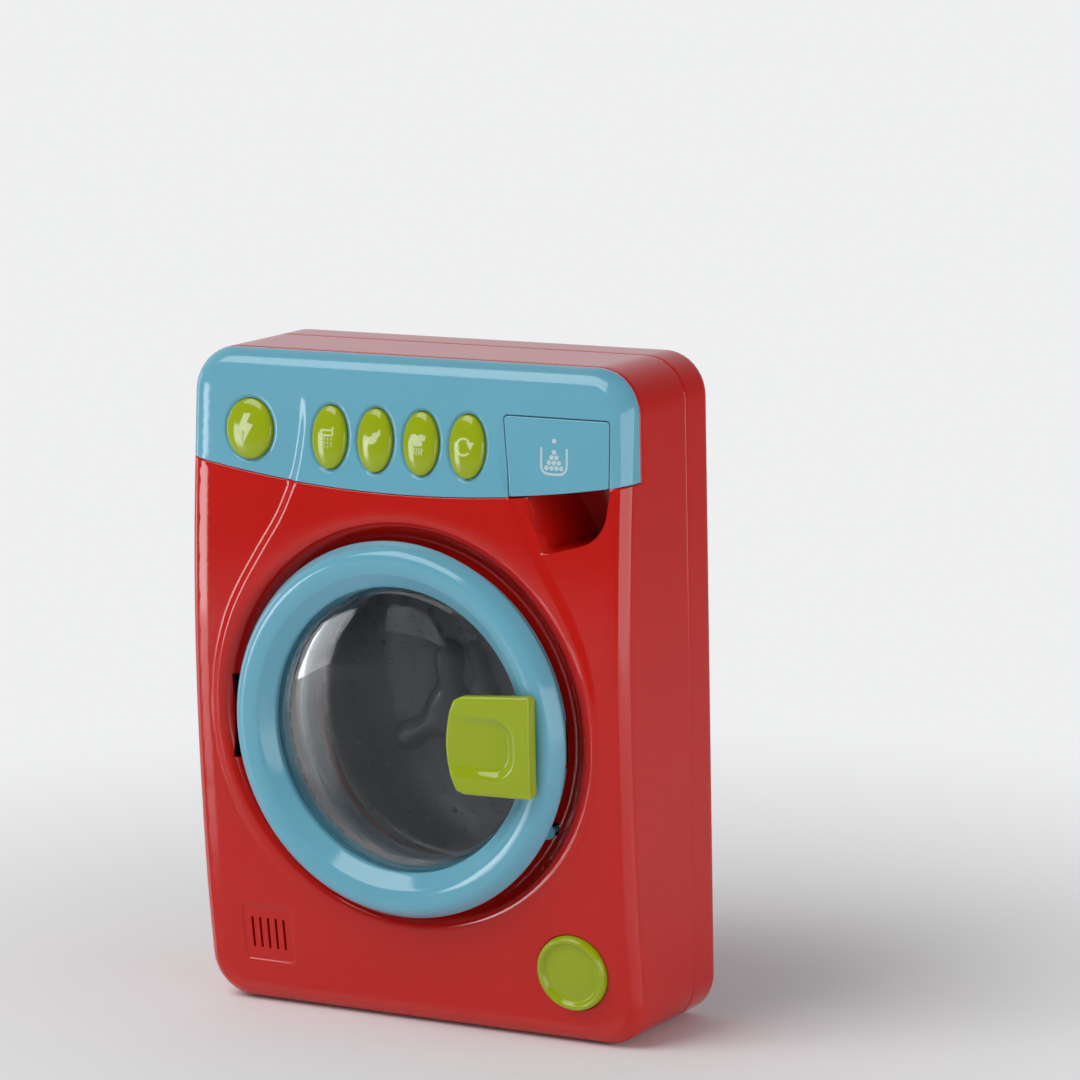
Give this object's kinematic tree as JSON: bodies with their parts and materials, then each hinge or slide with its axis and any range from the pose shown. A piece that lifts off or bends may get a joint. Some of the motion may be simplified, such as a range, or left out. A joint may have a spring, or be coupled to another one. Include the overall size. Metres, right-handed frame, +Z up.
{
  "type": "toy washing machine",
  "caption": "Toy front-loading washing machine: red casing, blue control panel, green press buttons, round swinging door with a clear window, turning drum and sliding detergent drawer.",
  "frame": {"origin": "bottom centre of the overall box: on the base plane, midway between the side walls and midway between the handle's front and the back face", "axes": "+X to the viewer's right, +Y to the back, +Z up; the door faces -Y"},
  "size_m": [0.21, 0.092, 0.28],
  "materials": {
    "red_plastic": "glossy moulded plastic",
    "blue_plastic": "satin gloss",
    "green_plastic": "satin gloss",
    "charcoal_plastic": "satin",
    "clear_plastic": "clear polished plastic",
    "grey_plastic": "plain moulded",
    "white_plastic": "plain moulded",
    "rubber": "soft",
    "board": "printed circuit board",
    "steel": "plain",
    "brass": "plain"
  },
  "bodies": {
    "casing": {"front_shell": "red_plastic", "rear_shell": "red_plastic", "control_panel": "blue_plastic", "drum_tub": "grey_plastic", "spindle_bush": "brass", "double_gear_axle": "steel", "motor": "steel", "gear_cover": "grey_plastic", "hinge_pin": "steel", "control_board": "board", "key_domes": "rubber", "panel_screws": "steel", "board_screws": "steel", "drawer_housing": "grey_plastic", "housing_screws": "steel", "tub_screws": "steel", "cover_screws": "steel", "speaker": "charcoal_plastic", "speaker_clamp": "grey_plastic", "speaker_screws": "steel", "filter_cap": "green_plastic", "door_switch": "charcoal_plastic", "battery_contacts": "steel", "battery_door": "red_plastic", "battery_door_screw": "steel", "casing_screws": "steel"},
    "door": {"door_ring": "blue_plastic", "door_lens": "clear_plastic", "door_retainer": "blue_plastic", "hinge_arms": "charcoal_plastic", "handle_pin": "steel", "latch_spring": "steel", "door_screws": "steel"},
    "handle": {"door_handle": "green_plastic"},
    "drum_group": {"drum": "charcoal_plastic", "agitator": "charcoal_plastic", "drum_gear": "white_plastic", "drum_spindle": "steel"},
    "double_wheel": {"double_gear": "white_plastic"},
    "pinion": {"motor_pinion": "brass", "motor_shaft": "steel"},
    "drawer": {"detergent_drawer": "blue_plastic"},
    "key_power": {"power_button": "green_plastic"},
    "key_1": {"button_1": "green_plastic"},
    "key_2": {"button_2": "green_plastic"},
    "key_3": {"button_3": "green_plastic"},
    "key_4": {"button_4": "green_plastic"}
  },
  "joints": [
    {"name": "door_hinge", "type": "hinge", "parent": "casing", "child": "door", "pos_m": [-0.0905, -0.021, 0.125], "axis": [0, 0, -1], "range_deg": [0, 90]},
    {"name": "handle_pivot", "type": "hinge", "parent": "door", "child": "handle", "pos_m": [0.069, -0.031, 0.1265], "axis": [0, 0, 1], "range_deg": [0, 10], "stiffness_Nm_per_rad": 0.15, "springref_deg": -5.73},
    {"name": "drum_spin", "type": "hinge", "parent": "casing", "child": "drum_group", "pos_m": [0, 0.018, 0.127], "axis": [0, 1, 0], "continuous": true},
    {"name": "double_gear_spin", "type": "hinge", "parent": "casing", "child": "double_wheel", "pos_m": [-0.03253, 0.023, 0.15953], "axis": [0, 1, 0], "continuous": true},
    {"name": "pinion_spin", "type": "hinge", "parent": "casing", "child": "pinion", "pos_m": [-0.05869, 0.023, 0.18569], "axis": [0, 1, 0], "continuous": true},
    {"name": "drawer_slide", "type": "slide", "parent": "casing", "child": "drawer", "axis": [0, -1, 0], "range_m": [0, 0.038]},
    {"name": "power_press", "type": "slide", "parent": "casing", "child": "key_power", "axis": [0, 0.9941, -0.1087], "range_m": [0, 0.0015], "stiffness_N_per_m": 600, "springref_m": -0.0005},
    {"name": "button_1_press", "type": "slide", "parent": "casing", "child": "key_1", "axis": [0, 0.9942, -0.1075], "range_m": [0, 0.0015], "stiffness_N_per_m": 600, "springref_m": -0.0005},
    {"name": "button_2_press", "type": "slide", "parent": "casing", "child": "key_2", "axis": [0, 0.9942, -0.1075], "range_m": [0, 0.0015], "stiffness_N_per_m": 600, "springref_m": -0.0005},
    {"name": "button_3_press", "type": "slide", "parent": "casing", "child": "key_3", "axis": [0, 0.9942, -0.1075], "range_m": [0, 0.0015], "stiffness_N_per_m": 600, "springref_m": -0.0005},
    {"name": "button_4_press", "type": "slide", "parent": "casing", "child": "key_4", "axis": [0, 0.9942, -0.1075], "range_m": [0, 0.0015], "stiffness_N_per_m": 600, "springref_m": -0.0005}
  ],
  "couplings": [
    {"joint": "double_gear_spin", "follows": "drum_spin", "ratio": -6.6667},
    {"joint": "pinion_spin", "follows": "drum_spin", "ratio": 42.667}
  ]
}
